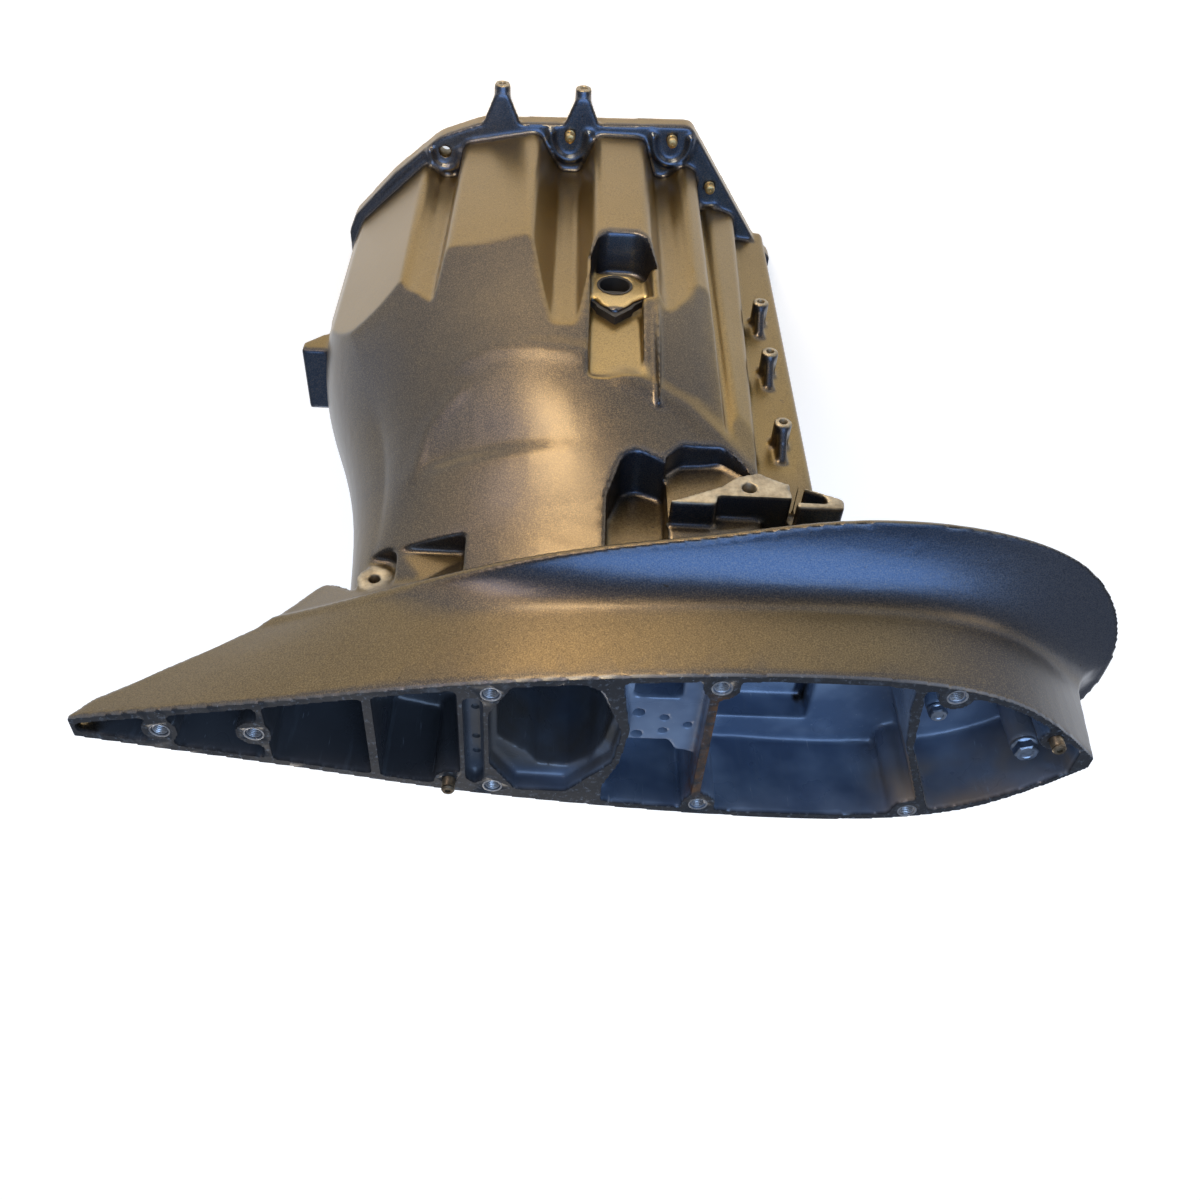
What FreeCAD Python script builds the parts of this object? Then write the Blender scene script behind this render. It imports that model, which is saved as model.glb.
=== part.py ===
import FreeCAD, Part
import math
import os

from FreeCAD import Placement, Rotation, Vector

os.makedirs("parts", exist_ok=True)
doc = FreeCAD.newDocument("outboard_upper_casing")

# Driving dimensions in millimetres. Z is 0 at the powerhead face and rises towards the gearcase face,
# X grows aft from the nose, Y grows to port.
SIZES = [
    ("casing_height", 500.0, "powerhead face to gearcase face"),
    ("foil_nose", 318.0, "nose of the gearcase face ahead of the origin"),
    ("foil_tail", 270.0, "tail of the gearcase face aft of the origin"),
    ("foil_half", 67.5, "half width of the gearcase face"),
    ("tail_half", 8.0, "half width of the cut tail end"),
    ("face_rim", 5.5, "land round the chambers in the gearcase face"),
    ("plate_drop", 73.0, "gearcase face to the lip of the splash plate"),
    ("plate_half", 116.0, "half width of the splash plate"),
    ("plate_reach", 351.0, "lip of the splash plate ahead of the origin"),
    ("plate_edge", 5.0, "thickness of the splash plate lip"),
    ("flange_thickness", 15.0, "powerhead flange thickness"),
    ("flange_half", 153.0, "half width of the powerhead flange"),
    ("flange_front", 172.0, "front edge of the powerhead flange"),
    ("flange_aft", 181.0, "aft edge of the powerhead flange"),
    ("bowl_inset", 10.0, "flange edge to the outer face of the ribs"),
    ("groove_depth", 31.0, "depth of the bolt grooves behind the rib faces"),
    ("draft_share", 0.055, "narrowing of the ribbed bowl over the whole height"),
    ("gear_thread", 4.25, "tap radius of the gearcase bolt holes"),
    ("gear_thread_depth", 32.0, "depth of the gearcase bolt holes"),
    ("gear_boss", 10.5, "boss radius round the gearcase bolt holes"),
    ("dowel_radius", 4.0, "locating dowel radius"),
    ("dowel_length", 18.0, "locating dowel length"),
    ("dowel_proud", 8.0, "part of the dowel that stands out of the face"),
    ("flange_hole", 4.5, "clearance hole radius in the powerhead flange"),
    ("stud_radius", 4.0, "powerhead stud radius"),
    ("stud_proud", 8.0, "stud end showing under the flange"),
    ("post_radius", 6.25, "apron post radius"),
    ("post_length", 22.0, "apron post length beyond the flange edge"),
    ("post_thread", 2.5, "tap radius in the apron posts"),
    ("post_thread_depth", 14.0, "depth of the holes in the apron posts"),
    ("boss_radius", 6.0, "front boss radius"),
    ("boss_face", 80.0, "front boss face from the middle plane"),
    ("mount_face", 90.0, "lower mount pad from the middle plane"),
    ("mount_thread", 4.25, "tap radius of the lower mount bolt holes"),
    ("mount_thread_depth", 30.0, "depth of the lower mount bolt holes"),
    ("outlet_radius", 12.0, "bore of the outlet pad"),
    ("outlet_x", -34.0, "outlet position fore and aft"),
    ("outlet_z", 193.0, "outlet position in height"),
    ("niche_face", 108.0, "flat panel of the outlet niche from the middle plane"),
    ("pad_height", 8.0, "outlet pad above its panel"),
    ("lug_radius", 11.0, "radius of the aft lug face"),
    ("lug_hole", 3.2, "hole radius in the aft lug"),
    ("chamber_floor", 60.0, "depth of the pump room below the gearcase face"),
    ("pump_floor", 80.0, "depth of the well in the pump room"),
    ("cavity_floor", 322.0, "floor of the upper cavity above the powerhead face"),
    ("exhaust_half", 36.0, "half width of the room over the pump room"),
    ("shaft_bore", 16.0, "driveshaft bore radius"),
    ("small_boss", 24.0, "height of the small bolt's boss over the chamber floor"),
    ("large_boss", 40.0, "height of the large bolt's boss over the chamber floor"),
    ("small_bolt", 3.0, "shank radius of the small nose bolt"),
    ("large_bolt", 4.0, "shank radius of the large nose bolt"),
    ("grommet_wall", 2.5, "wall of the outlet grommet"),
]
sheet = doc.addObject("Spreadsheet::Sheet", "Sizes")
for row, (alias, value, note) in enumerate(SIZES, start=1):
    sheet.set(f"A{row}", note)
    sheet.set(f"B{row}", str(value))
    sheet.setAlias(f"B{row}", alias)
doc.recompute()
size = {alias: float(sheet.get(alias)) for alias, _, _ in SIZES}

HEIGHT = size["casing_height"]
UP = Vector(0, 0, 1)
PLATE_Z = HEIGHT - size["plate_drop"]


# Outline helpers


def corner(before, point, after, radius):
    """Tangent points and middle of the arc that rounds one corner of an outline."""
    back = Vector(before[0] - point[0], before[1] - point[1], 0)
    ahead = Vector(after[0] - point[0], after[1] - point[1], 0)
    room = 0.47 * min(back.Length, ahead.Length)
    back.normalize()
    ahead.normalize()
    half = math.acos(max(-1.0, min(1.0, back.dot(ahead)))) / 2
    reach = radius / math.tan(half)
    if reach > room:
        reach = room
        radius = reach * math.tan(half)
    middle = (back + ahead).normalize()
    vertex = Vector(point[0], point[1], 0)
    centre = vertex + middle * (radius / math.sin(half))
    return vertex + back * reach, centre - middle * radius, vertex + ahead * reach


def bend(start, vertex, end):
    """Smooth curve for a corner of a lofted outline, within a hair of the arc that touches both sides."""
    turn = math.pi - (start - vertex).getAngle(end - vertex)
    pull = 4 / 3 * math.tan(turn / 4) / math.tan(turn / 2)
    curve = Part.BezierCurve()
    curve.setPoles([start, start + (vertex - start) * pull, end + (vertex - end) * pull, end])
    return curve.toBSpline()


def rounded(points, soft=False):
    """Closed outline of lines and arcs, or soft bends, through corners given as (x, y, radius)."""
    count = len(points)
    corners = []
    for i, point in enumerate(points):
        if point[2] > 0:
            corners.append(corner(points[i - 1], point, points[(i + 1) % count], point[2]))
        else:
            vertex = Vector(point[0], point[1], 0)
            corners.append((vertex, None, vertex))
    edges = []
    for i, (start, middle, end) in enumerate(corners):
        if middle is not None:
            vertex = Vector(points[i][0], points[i][1], 0)
            edges.append(bend(start, vertex, end) if soft else Part.Arc(start, middle, end))
        edges.append(Part.LineSegment(end, corners[(i + 1) % count][0]))
    return edges


def spline(points, pace=None):
    """Smooth curve through a few points, with its knots spaced as the points of a model outline are."""
    path = [Vector(x, y, 0) for x, y in points]
    model = [Vector(x, y, 0) for x, y in pace] if pace else path
    knots = [0.0]
    for start, end in zip(model, model[1:]):
        knots.append(knots[-1] + (end - start).Length)
    curve = Part.BSplineCurve()
    curve.interpolate(Points=path, Parameters=[knot / knots[-1] for knot in knots])
    return curve


def sketch(name, edges, height="0", turned=False):
    """Sketch of an outline, level at a height or upright in the middle plane."""
    made = doc.addObject("Sketcher::SketchObject", name)
    made.addGeometry(edges, False)
    if turned:
        made.Placement = Placement(Vector(0, 0, 0), Rotation(Vector(1, 0, 0), 90))
        made.setExpression(".Placement.Base.y", height)
    else:
        made.setExpression(".Placement.Base.z", height)
    return made


def loft(name, sections, ruled=False):
    """Solid through several outlines."""
    made = doc.addObject("Part::Loft", name)
    made.Sections = sections
    made.Solid = True
    made.Ruled = ruled
    made.Linearize = True
    return made


def extrusion(name, base, length, direction):
    """Solid from an outline, pushed along a direction by a length or an expression."""
    made = doc.addObject("Part::Extrusion", name)
    made.Base = base
    made.DirMode = "Custom"
    made.Dir = direction
    made.Solid = True
    made.setExpression("LengthFwd", length)
    return made


def join(name, shapes):
    made = doc.addObject("Part::MultiFuse", name)
    made.Shapes = shapes
    return made


def common(name, shapes):
    made = doc.addObject("Part::MultiCommon", name)
    made.Shapes = shapes
    return made


def cut(name, base, tool):
    made = doc.addObject("Part::Cut", name)
    made.Base = base
    made.Tool = tool
    return made


TURNS = {
    "up": Rotation(),
    "down": Rotation(Vector(1, 0, 0), 180),
    "starboard": Rotation(Vector(1, 0, 0), 90),
    "port": Rotation(Vector(1, 0, 0), -90),
    "aft": Rotation(Vector(0, 1, 0), 90),
    "ahead": Rotation(Vector(0, 1, 0), -90),
}


def place(made, where, turn):
    made.Placement = Placement(Vector(0, 0, 0), TURNS[turn])
    for axis, expression in zip("xyz", where):
        made.setExpression(f".Placement.Base.{axis}", str(expression))
    return made


def cylinder(name, radius, length, where, turn="up"):
    made = doc.addObject("Part::Cylinder", name)
    made.setExpression("Radius", str(radius))
    made.setExpression("Height", str(length))
    return place(made, where, turn)


def box(name, lengths, where):
    made = doc.addObject("Part::Box", name)
    for side, expression in zip(("Length", "Width", "Height"), lengths):
        made.setExpression(side, str(expression))
    return place(made, where, "up")


def both_sides(points):
    """Whole outline, counterclockwise, from its starboard half listed nose to tail."""
    return [tuple(p) for p in points] + [(p[0], -p[1], *p[2:]) for p in reversed(points)]


# Skirt: the blade-shaped lower shell, its splash plate and the tail

# Stations from nose to tail as (x, half width): at the gearcase face (as shares of its length and width),
# at the plate, at the crest of the tail, and round the lip of the splash plate.
FACE_STATIONS = [(-0.909, 0.46), (-0.818, 0.74), (-0.726, 0.889), (-0.472, 1.0), (-0.094, 0.889),
                 (0.278, 0.674), (0.556, 0.452), (0.778, 0.289)]
PLATE_STATIONS = [(-300, 33), (-273, 53), (-246, 64), (-170, 72), (-60, 67), (50, 55), (130, 29), (170, 14)]
CREST_STATIONS = [(-300, 30), (-273, 48), (-246, 58), (-170, 64), (-60, 54), (45, 33), (105, 15), (128, 8)]
LIP_STATIONS = [(-343, 40), (-325, 70), (-300, 92), (-205, 116), (-90, 99), (30, 70), (130, 29.5),
                (170, 14.3)]
NOSE_RAKE = 9.0
NOSE_HALF = 5.0
CREST_DROP = 140.0

face_half = [
    (x * (size["foil_nose"] if x < 0 else size["foil_tail"]), y * size["foil_half"])
    for x, y in FACE_STATIONS
]
lip_scale = size["plate_half"] / 116.0
lip_reach = size["plate_reach"] / 351.0
FACE = [(-size["foil_nose"], NOSE_HALF), *face_half, (size["foil_tail"], size["tail_half"])]
AT_PLATE = [(-size["foil_nose"] - NOSE_RAKE, NOSE_HALF), *PLATE_STATIONS, (215.0, 4.0)]
CREST = [(-size["foil_nose"] - NOSE_RAKE, NOSE_HALF), *CREST_STATIONS, (150.0, 3.0)]
LIP = [
    (-size["plate_reach"], 6.0),
    *[(x * (lip_reach if x < -200 else 1), y * (lip_scale if x < 50 else 1)) for x, y in LIP_STATIONS],
    (215.0, 4.0),
]


def blend(low, high, share):
    return [(a[0] + (b[0] - a[0]) * share, a[1] + (b[1] - a[1]) * share) for a, b in zip(low, high)]


def blade(points, inward=0.0):
    """Blade outline from a list of stations: flat nose, two long curves and a cut tail."""
    starboard = [(x, -max(y - inward, 1.0)) for x, y in points]
    port = [(x, -y) for x, y in reversed(starboard)]
    nose_top = Vector(starboard[0][0], -starboard[0][1], 0)
    nose_low = Vector(starboard[0][0], starboard[0][1], 0)
    tail_low = Vector(starboard[-1][0], starboard[-1][1], 0)
    tail_top = Vector(port[0][0], port[0][1], 0)
    return [
        Part.LineSegment(nose_top, nose_low),
        spline(starboard, FACE),
        Part.LineSegment(tail_low, tail_top),
        spline(port, FACE[::-1]),
    ]


# Shares of the plate depth and how far the wall has flared to the lip there
FLARE = [(0.61, 0.0), (0.74, 0.05), (0.87, 0.27), (1.0, 1.0)]
face_outline = sketch("face_outline", blade(FACE), "Sizes.casing_height")
flare_sections = [
    sketch(f"flare_{i}", blade(blend(blend(FACE, AT_PLATE, depth), LIP, flare)),
           f"Sizes.casing_height - Sizes.plate_drop * {depth}")
    for i, (depth, flare) in enumerate(FLARE)
]
skirt_wall = loft("skirt_wall", [face_outline, flare_sections[0]], ruled=True)
skirt_flare = loft("skirt_flare", flare_sections)
skirt = join("skirt", [skirt_wall, skirt_flare])
lip_top = sketch(
    "lip_top", blade(blend(LIP, AT_PLATE, 0.06)),
    "Sizes.casing_height - Sizes.plate_drop - Sizes.plate_edge",
)
lip = loft("lip", [flare_sections[-1], lip_top], ruled=True)

# Tail fin above the plate, held between the blade walls and its own side profile. Its crest is listed
# from the hull aft as (x, depth below the gearcase face).
FIN_CREST = [(118, -90), (131, -102), (143, -108.5), (153, -98), (164, -83), (190, -62), (229, -35),
             (254, -18)]
fin_low = sketch("fin_low", blade(AT_PLATE), "Sizes.casing_height - Sizes.plate_drop + 0.02")
fin_high = sketch("fin_high", blade(CREST), f"Sizes.casing_height - {CREST_DROP}")
fin_walls = loft("fin_walls", [fin_high, fin_low], ruled=True)

TAIL = size["foil_tail"]
tail_end = [(TAIL - 6, -13), (TAIL + 3, -7), (TAIL, 0)]


def side_profile(name, points, crest):
    """Upright outline in the middle plane from x and depth below the gearcase face."""
    edges = []
    path = [Vector(x, HEIGHT + z, 0) for x, z in points]
    for start, end in zip(path, path[1:]):
        edges.append(Part.LineSegment(start, end))
    curve = [(x, HEIGHT + z) for x, z in crest]
    edges.append(spline(curve))
    edges.append(Part.LineSegment(Vector(curve[-1][0], curve[-1][1], 0), path[0]))
    return sketch(name, edges, "100", turned=True)


profile = side_profile(
    "tail_profile",
    [*tail_end, (60, 0), (0, -60), (20, -140), FIN_CREST[0]],
    FIN_CREST,
)
profile_solid = extrusion("tail_profile_solid", profile, "200", Vector(0, -1, 0))
whole_profile = side_profile(
    "skirt_profile",
    [*tail_end, (-320, 0), (-400, -30), (-400, -80), (60, -80), (60, -140), FIN_CREST[0]],
    FIN_CREST,
)
whole_profile_solid = extrusion("skirt_profile_solid", whole_profile, "400", Vector(0, -1, 0))
whole_profile_solid.setExpression(".Placement.Base.y", "100")
fin = common("fin", [fin_walls, profile_solid])
skirt_trimmed = common("skirt_trimmed", [skirt, whole_profile_solid])
lip_trimmed = common("lip_trimmed", [lip, whole_profile_solid])


# Hull: the smooth flared body between the ribbed bowl and the skirt

# Each row: share of the height, tail on the middle plane, aft edge, then the side from the front corner aft
HULL_ROWS = [
    (0.00, 195, (165, 100), [(-178, 100), (-135, 126), (-80, 156), (-20, 168), (40, 168), (95, 152)]),
    (0.30, 180, (158, 92), [(-178, 80), (-135, 104), (-80, 137), (-20, 149), (40, 143), (95, 130)]),
    (0.366, 177, (152, 86), [(-178, 72), (-135, 95), (-80, 130), (-20, 142), (40, 137), (95, 124)]),
    (0.43, 168, (146, 75), [(-178, 69), (-135, 89), (-80, 120), (-20, 131), (40, 128), (90, 113)]),
    (0.50, 157.5, (131, 63), [(-178, 67), (-135, 85), (-80, 110), (-20, 119), (38, 118), (84, 103)]),
    (0.60, 141, (115, 50), [(-178, 66), (-135, 81), (-80, 99), (-20, 108), (33, 104), (76, 87)]),
    (0.68, 133, (109.5, 44), [(-178, 65), (-135, 79), (-80, 91), (-20, 95), (30, 88), (71, 73)]),
    (0.79, 128, (112, 26), [(-178, 58), (-135, 66), (-80, 68), (-20, 66), (30, 61), (74, 49)]),
    (0.87, 122, (108, 18), [(-170, 50), (-135, 57), (-80, 60), (-20, 58), (30, 52), (72, 40)]),
]
# Shares of the height at which the hull has a section, and the side that spaces the knots of all of them
HULL_LEVELS = [0.31, 0.45, 0.59, 0.73, 0.87]
HULL_PACE = [*HULL_ROWS[4][3], HULL_ROWS[4][2]]


def mix(low, high, share):
    """Value or nested values part of the way between two rows."""
    if isinstance(low, (tuple, list)):
        return [mix(a, b, share) for a, b in zip(low, high)]
    return low + (high - low) * share


def hull_row(level):
    """Tail, aft edge and side of the hull at a share of the height."""
    for low, high in zip(HULL_ROWS, HULL_ROWS[1:]):
        if level <= high[0] + 1e-9:
            return mix(low, high, (level - low[0]) / (high[0] - low[0]))
    return HULL_ROWS[-1]


def hull_outline(level):
    """Flat front, smooth starboard side, bowed aft face and the mirrored port side."""
    _, tail, (edge_x, edge_y), side = hull_row(level)
    edge = (edge_x, -edge_y)
    starboard = [(x, -y) for x, y in side] + [edge]
    port = [(x, -y) for x, y in reversed(starboard)]
    front_top = Vector(*port[-1], 0)
    front_low = Vector(*starboard[0], 0)
    return [
        Part.LineSegment(front_top, front_low),
        spline(starboard, HULL_PACE),
        spline([edge, (tail, 0), port[0]]),
        spline(port, HULL_PACE[::-1]),
    ]


hull_sections = [
    sketch(f"hull_{i}", hull_outline(level), f"Sizes.casing_height * {level}")
    for i, level in enumerate([0.0, *HULL_LEVELS])
]
hull_upper = loft("hull_upper", hull_sections[:2], ruled=True)
hull_lower = loft("hull_lower", hull_sections[1:])
hull = join("hull", [hull_upper, hull_lower])

# Bowl: the ribbed upper body with a groove beside each flange bolt

RIB = size["flange_half"] - size["bowl_inset"]
WIDE = RIB / 143.0
# Share of the groove depth left far below the flange, where the grooves run out
GROOVE_RUN = 0.48


def bowl_points(low=False):
    """Half outline of the ribs and grooves as (x, y, radius), nose to tail, at the flange or far below."""
    rib = RIB * (1 - size["draft_share"]) if low else RIB
    groove = RIB - size["groove_depth"] * (GROOVE_RUN if low else 1)
    edge = -121 if low else -136
    step = 86 * WIDE
    half = [
        (-165, 60 * WIDE, 4), (edge - 3, 62 * WIDE, 0), (edge, 83 * WIDE, 6), (-114, 90 * WIDE, 6),
        (-106, step, 0), (-100, rib - 24, 7), (-88, rib - 18, 7),
        (-77, groove - 1, 6), (-67, groove - 1, 6), (-57, rib, 8), (-19, rib, 8),
        (-8, groove, 6), (8, groove, 6), (25, rib, 8), (83, rib - 12, 8),
        (89, groove - 9, 0), (100, groove - 9, 0), (112, rib - 28, 7), (168, rib - 81, 12),
        (178, rib - 103, 9),
    ]
    return both_sides([(x, -y, r) for x, y, r in half])


BOWL_END = PLATE_Z + 4
bowl_top = sketch("bowl_top", rounded(bowl_points(), soft=True), "0.01")
bowl_low = sketch("bowl_low", rounded(bowl_points(low=True), soft=True), str(BOWL_END))
bowl = loft("bowl", [bowl_top, bowl_low], ruled=True)
body = common("body", [hull, bowl])

# Upper cavity, open at the powerhead face, and the lower room above the pump room
ROOM_TOP = [(-158, 54), (-131, 55), (-112, 72), (-96, 102), (-76, 104), (76, 104), (90, 95), (104, 95),
            (164, 50), (172, 34)]
ROOM_LOW = [(-158, 52), (-120, 53), (-112, 68), (-96, 76), (-76, 88), (30, 88), (58, 78), (75, 69),
            (105, 40), (118, 30)]


def room_outline(points):
    return rounded(both_sides([(x, -y * WIDE, 0) for x, y in points]))


room_high = sketch("room_high", room_outline(ROOM_TOP), "-1")
room_low = sketch("room_low", room_outline(ROOM_LOW), "Sizes.cavity_floor")
upper_room = loft("upper_room", [room_high, room_low], ruled=True)
lower_room = box(
    "lower_room",
    (107, "2 * Sizes.exhaust_half", "Sizes.casing_height - Sizes.pump_floor - Sizes.cavity_floor - 14"),
    (-155, "-Sizes.exhaust_half", "Sizes.cavity_floor - 1"),
)
room = join("room", [upper_room, lower_room])

# Powerhead flange

FLANGE = both_sides([
    (-size["flange_front"], -46, 4), (-159, -57, 5), (-93, -size["flange_half"], 10),
    (70, -0.955 * size["flange_half"], 25), (103, -0.872 * size["flange_half"], 30),
    (141, -0.66 * size["flange_half"], 30), (175, -0.418 * size["flange_half"], 8),
    (size["flange_aft"], -50, 6),
])
flange_outline = sketch("flange_outline", rounded(FLANGE), "0")
flange = extrusion("flange", flange_outline, "Sizes.flange_thickness", UP)

# Studs and open bolt holes as (x, distance from the middle plane)
STUDS = [(1, 141), (-79, 142), (-113, 106)]
FLANGE_HOLES = [(99, 122)]
ear = size["flange_half"] - 153
flange_spots = [
    (x, side * (y + ear), radius)
    for radius, spots in (("Sizes.stud_radius", STUDS), ("Sizes.flange_hole", FLANGE_HOLES))
    for x, y in spots
    for side in (-1, 1)
]
flange_holes = [
    cylinder(f"flange_bore_{i}", radius, "Sizes.flange_thickness + 2", (x, y, -1))
    for i, (x, y, radius) in enumerate(flange_spots)
]


# Side features in upright planes, listed to starboard


def upright(name, points, face):
    """Rounded outline (x, z, radius) in a plane at a distance to starboard of the middle plane."""
    return sketch(name, rounded(points), f"-({face})", turned=True)


def block(name, points, face, depth):
    """Solid from an upright outline, from its face inwards to port."""
    return extrusion(name, upright(f"{name}_outline", points, face), depth, Vector(0, 1, 0))


def mirrored(name, source):
    made = doc.addObject("Part::Mirroring", name)
    made.Source = source
    made.Normal = Vector(0, 1, 0)
    return made


# Heights of the lower mounts follow the splash plate
LOW = PLATE_Z - 427
mount_pad = block("mount_pad", [
    (-97, 372 + LOW, 3), (-108, 362 + LOW, 0), (-122, 357 + LOW, 5), (-135, 365 + LOW, 0),
    (-155, 372 + LOW, 0), (-172, 379 + LOW, 2), (-170, 388 + LOW, 2), (-143, 388 + LOW, 0),
    (-141, 380 + LOW, 0), (-96, 380 + LOW, 0), (-94, 388 + LOW, 0), (-64, 388 + LOW, 0),
], "Sizes.mount_face", "Sizes.mount_face - 20")
mount_root = block("mount_root", [
    (-141, 379 + LOW, 0), (-141, 400 + LOW, 0), (-96, 400 + LOW, 0), (-96, 379 + LOW, 0),
], "Sizes.mount_face * 0.55", "Sizes.mount_face * 0.55 - 20")
scoop = block("scoop", [
    (-66, 344 + LOW, 0), (-76, 334 + LOW, 10), (-103, 331 + LOW, 10), (-118, 345 + LOW, 6),
    (-118, 398 + LOW, 0), (-66, 398 + LOW, 0),
], "Sizes.mount_face + 60", "60 + Sizes.mount_face * 0.2")
hollow = block("hollow", [
    (-30, 372 + LOW, 0), (-42, 338 + LOW, 12), (-67, 348 + LOW, 8), (-67, 440 + LOW, 0),
    (-30, 440 + LOW, 0),
], "Sizes.mount_face + 60", "60 + Sizes.mount_face * 0.38")
mount_slot = block("mount_slot", [
    (-139, 367 + LOW, 0), (-160, 376.5 + LOW, 0), (-162, 383 + LOW, 0), (-141, 383 + LOW, 0),
], "Sizes.mount_face + 1", "24")
mount_tap = cylinder("mount_tap", "Sizes.mount_thread", "Sizes.mount_thread_depth + 1",
                     (-115, "-Sizes.mount_face + Sizes.mount_thread_depth", 372 + LOW), "starboard")
lug_pocket = block("lug_pocket", [
    (150, 440 + LOW, 0), (124, 382 + LOW, 0), (96, 386 + LOW, 8), (96, 440 + LOW, 0),
], "90", "90 - 29")
ledge_pocket = block("ledge_pocket", [
    (98, 440 + LOW, 0), (98, 389 + LOW, 4), (54, 389 + LOW, 0), (54, 440 + LOW, 0),
], "90", "90 - 43")
lug_face = cylinder("lug_face", "Sizes.lug_radius", "30", (109, 0, 402 + LOW), "starboard")
lug_hole = cylinder("lug_hole", "Sizes.lug_hole", "20", (109, -12, 402 + LOW), "starboard")
aft_bracket = block("aft_bracket", [
    (140, 105, 0), (150, 105, 0), (170, 122, 0), (198, 147, 0), (198, 158, 0), (140, 158, 0),
], "27", "54")

# Outlet niche in the second rib, to starboard only
OUT_X = size["outlet_x"]
OUT_Z = size["outlet_z"]
niche = block("niche", [
    (-17, 292, 0), (-52, 292, 0), (-52, 222, 0), (-66, 214, 0), (-66, 190, 12), (-52, 163, 14),
    (-24, 163, 10), (-17, 186, 0),
][::-1], "Sizes.niche_face + 60", "60")
outlet_pad = block("outlet_pad", [
    (OUT_X + x, OUT_Z + z, r) for x, z, r in (
        (-20.5, -6, 0), (-12, -16, 0), (12, -16, 0), (20.5, -6, 0), (20.5, 13, 2), (12, 19, 0),
        (11, 22, 0), (0, 33, 4), (-11, 22, 0), (-12, 19, 0), (-20.5, 13, 2),
    )
], "Sizes.niche_face + Sizes.pad_height", "Sizes.pad_height + 2")
outlet_bore = cylinder("outlet_bore", "Sizes.outlet_radius", "60",
                       ("Sizes.outlet_x", "-Sizes.niche_face + 40", "Sizes.outlet_z"), "starboard")
niche_boss = cylinder("niche_boss", "4.5", "14", (-61, "-Sizes.niche_face + 2", 192), "starboard")
niche_rib = box("niche_rib", (2.5, 12, 80), (-63, "-Sizes.niche_face - 5", 196))

# Bosses down the front and posts on the flange
FRONT_SHARES = (0.286, 0.418, 0.582)
front_bosses = [
    cylinder(f"front_boss_{i}", "Sizes.boss_radius", "Sizes.boss_face - 50",
             (-146.5, -50, f"Sizes.casing_height * {share}"), "starboard")
    for i, share in enumerate(FRONT_SHARES)
]
front_taps = [
    cylinder(f"front_tap_{i}", "Sizes.post_thread", "Sizes.post_thread_depth + 1",
             (-146.5, "-Sizes.boss_face + Sizes.post_thread_depth", f"Sizes.casing_height * {share}"),
             "starboard")
    for i, share in enumerate(FRONT_SHARES)
]
POSTS = (54, -8)
posts = []
post_taps = []
for i, x in enumerate(POSTS):
    posts.append(cylinder(f"post_{i}", "Sizes.post_radius", "Sizes.post_length + 12",
                          (x, "-Sizes.flange_half + 12", "Sizes.flange_thickness / 2"), "starboard"))
    post_taps.append(cylinder(f"post_tap_{i}", "Sizes.post_thread", "Sizes.post_thread_depth + 1",
                              (x, "-Sizes.flange_half - Sizes.post_length + Sizes.post_thread_depth",
                               "Sizes.flange_thickness / 2"), "starboard"))
    tip = size["flange_half"] + size["post_length"] * 0.75
    root = size["flange_half"] - 12
    web_outline = sketch(f"web_outline_{i}", rounded([
        (x - 17, -root, 0), (x - 5, -tip, 0), (x + 5, -tip, 0), (x + 17, -root, 0),
    ]), "Sizes.flange_thickness - 5")
    posts.append(extrusion(f"web_{i}", web_outline, "5", UP))

side_cuts = join("side_cuts", [scoop, hollow, lug_pocket, ledge_pocket])
side_adds = join("side_adds", [mount_pad, mount_root, lug_face, *front_bosses, *posts])
side_holes = join("side_holes", [mount_slot, mount_tap, lug_hole, *front_taps, *post_taps])
side_cuts_port = mirrored("side_cuts_port", side_cuts)
side_adds_port = mirrored("side_adds_port", side_adds)
side_holes_port = mirrored("side_holes_port", side_holes)

# Chambers in the gearcase face, kept a rim inside the blade walls
RIM = size["face_rim"]
FLOOR = size["chamber_floor"]
DROP = size["plate_drop"]
inner_high = sketch("inner_high", blade(blend(FACE, AT_PLATE, -1 / DROP), RIM), "Sizes.casing_height + 1")
inner_low = sketch("inner_low", blade(blend(FACE, AT_PLATE, 0.97), RIM),
                   "Sizes.casing_height - Sizes.plate_drop * 0.97")
inner_blade = loft("inner_blade", [inner_high, inner_low], ruled=True)
THROUGH = "Sizes.casing_height - Sizes.cavity_floor + 5"


def chamber(name, depth, points):
    """Straight pocket from just over the gearcase face down to a depth."""
    outline = sketch(f"{name}_outline", rounded([(x, y, 0) for x, y in points]), "Sizes.casing_height + 1")
    return extrusion(name, outline, f"{depth} + 1", Vector(0, 0, -1))


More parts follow.
